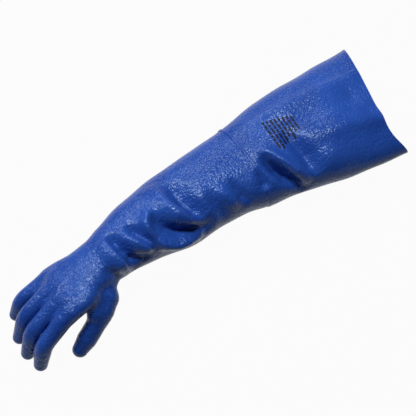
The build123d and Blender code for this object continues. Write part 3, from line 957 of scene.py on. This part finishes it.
def top_angle(along, off):
    """Angle at which the sleeve's upper side is `off` mm beside its middle."""
    c = stations(SLEEVE, along)
    share = np.clip(np.abs(off) / c[..., 3], 0, 1) ** (c[..., 5] / 2) * np.sign(off)
    return np.arccos(share)


along, section = ring_grid(np.linspace(4.0, SLEEVE_LENGTH - 0.5, 120), 12)
off = SEAM_OFF + 2.6 * np.cos(section)
seam = sleeve_skin_at(along, top_angle(along, off), 0.4 * np.sin(section) - 0.1)
sleeve_seam = add_piece("seam_weld", seam, grid_faces(*along.shape, False, True), weld_pvc, "weld")

# %% [markdown]
# A plain block of printed dashes marks the sleeve above the elbow.  Each dash is a small
# patch of the sleeve's own surface, raised by the thickness of the ink.

# %% Printed dashes
DASH_WIDTH, DASH_GAP, INK_THICKNESS = 3.1, 1.6, 0.12


def dash(start, off, length, width):
    """Grid of one dash: start along the arm, off beside its middle, length round the arm."""
    return np.meshgrid(np.linspace(start, start + width, 3), np.linspace(off, off - length, 7), indexing="ij")


marks, mark_faces = [], []
random = np.random.default_rng(11)
for row in range(8):
    at, off = 44.0 + 5.6 * row, 27.0 - 1.5 * row
    while off > -20.0 + 2.0 * row:
        length = float(random.uniform(4.0, 11.0))
        a, b = dash(at, off, length, DASH_WIDTH)
        mark_faces.append(grid_faces(*a.shape, False, False) + a.size * len(marks))
        marks.append(sleeve_skin_at(a, top_angle(a, b), INK_THICKNESS))
        off -= length + DASH_GAP
print_marks = add_piece("print_marks", np.concatenate(marks), np.concatenate(mark_faces), ink, "pvc_sleeve")
print("dashes:", len(marks))

# %% [markdown]
# ## Tying the pieces to the frame
#
# The weld, the hem and the hand ride one body each.  A piece that lies over a crease is
# not blended between the bodies before and after it: its place is only baked into its mesh.
# The CAD solids that the pieces stand for are hidden.

# %% Rides, baked pieces and replaced solids
def bend_over(piece):
    """Bakes the piece's place into its mesh; no blend over a joint is set up."""
    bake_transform(piece)


for piece in (sleeve_skin, sleeve_seam, print_marks):
    bend_over(piece)
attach(weld_ring, "forearm")
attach(lining_hem, "forearm")
for piece in (gauntlet_skin, gauntlet_lining):
    bend_over(piece)
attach(hand_skin, "hand")
LAYERS = ("coat", "insulation", "liner")
for name, (root_skin, end_skin) in finger_pieces.items():
    f = fingers[name]
    bend_over(root_skin)
    bend_over(end_skin)
    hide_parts(*[f"{name}_near_{layer}" for layer in LAYERS], name + "_knuckle_crease")
    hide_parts(*[f"{name}_far_{layer}" for layer in LAYERS], name + "_middle_crease")
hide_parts("sleeve", "sleeve_elbow")
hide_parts("sleeve_seam")
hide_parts("weld_band")
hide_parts("lining_hem")
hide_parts("gauntlet_coat", "wrist_coat")
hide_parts("gauntlet_insulation", "gauntlet_liner", "wrist_insulation", "wrist_liner")
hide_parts("hand_coat", "hand_insulation", "hand_liner")
left = [n for n, o in nodes.items() if not o.hide_render]
print("CAD solids still shown:", left)

# %% [markdown]
# ## Table, light and camera
#
# The glove lies on a white table.  One soft box stands high up beyond the fingers, so that
# each fold has a lit side and a shaded one.  A long one overhead draws the highlight along
# the arm, and a low one behind gives the far side its sheen.

# %% Table
def white_to_the_eye(tree, shader, share):
    """Mixes white into what the camera and mirrors see of a surface, and keeps shadows."""
    path = new_node(tree, "LightPath", {})
    seen = math_node(tree, "MAXIMUM", path.outputs["Is Glossy Ray"], path.outputs["Is Transmission Ray"])
    seen = math_node(tree, "MAXIMUM", path.outputs["Is Camera Ray"], seen)
    glow = new_node(tree, "Emission", {})
    mix = new_node(tree, "MixShader", {0: math_node(tree, "MULTIPLY", seen, share),
                                       1: shader.outputs[0], 2: glow.outputs[0]})
    tree.links.new(mix.outputs[0], tree.nodes["Material Output"].inputs["Surface"])


table, tree, shader = new_material("table")
fill(tree, shader, {"Base Color": (0.16, 0.16, 0.16, 1.0), "Roughness": 0.9})
white_to_the_eye(tree, shader, 0.96)
mesh = bpy.data.meshes.new("floor")
mesh.from_pydata([(-6, -6, 0), (6, -6, 0), (6, 6, 0), (-6, 6, 0)], [], [(0, 1, 2, 3)])
mesh.materials.append(table)
floor = bpy.data.objects.new("floor", mesh)
bpy.context.scene.collection.objects.link(floor)
print("table top at z =", floor.location.z)

# %% Light
world = bpy.data.worlds.new("studio")
bpy.context.scene.world = world
world.use_nodes = True
ambient = world.node_tree.nodes["Background"]
fill(world.node_tree, ambient, {"Color": (0.72, 0.76, 1.0, 1.0), "Strength": 0.06})


LIGHT_AIM = np.array([0.0, 0.0, 0.04])


def soft_box(name, direction, distance, size, power):
    """Rectangular area light in a direction from the glove, turned to face it."""
    light = bpy.data.lights.new(name, "AREA")
    light.shape = "RECTANGLE"
    light.size, light.size_y = size
    light.energy = power
    lamp = bpy.data.objects.new(name, light)
    way = unit(direction)
    lamp.location = LIGHT_AIM + way * distance
    lamp.rotation_euler = Vector(tuple(-way)).to_track_quat("-Z", "Y").to_euler()
    bpy.context.scene.collection.objects.link(lamp)


soft_box("key", (-0.40, 0.55, 0.73), 2.4, (0.8, 0.6), 19.0)
soft_box("top", (0.05, 0.20, 0.96), 2.4, (1.1, 0.45), 42.0)
soft_box("back", (0.25, 0.78, 0.57), 2.6, (1.4, 0.7), 18.0)

# %% Camera
CAMERA_AZIMUTH, CAMERA_HEIGHT = math.radians(-30.0), math.radians(62.0)
CAMERA_AWAY, CAMERA_AIM = 2.441, np.array([0.0172, -0.0052, 0.0210])
back = np.array([math.sin(CAMERA_AZIMUTH) * math.cos(CAMERA_HEIGHT),
                 -math.cos(CAMERA_AZIMUTH) * math.cos(CAMERA_HEIGHT), math.sin(CAMERA_HEIGHT)])
camera = bpy.data.objects.new("camera", bpy.data.cameras.new("camera"))
camera.data.lens, camera.data.sensor_width = 150.0, 36.0
camera.data.clip_end = 20.0
camera.location = CAMERA_AIM + back * CAMERA_AWAY
camera.rotation_euler = Vector(tuple(-back)).to_track_quat("-Z", "Y").to_euler()
bpy.context.scene.collection.objects.link(camera)
bpy.context.scene.camera = camera
bpy.context.scene.view_settings.view_transform = "Standard"
print("camera at", tuple(round(c, 3) for c in camera.location))
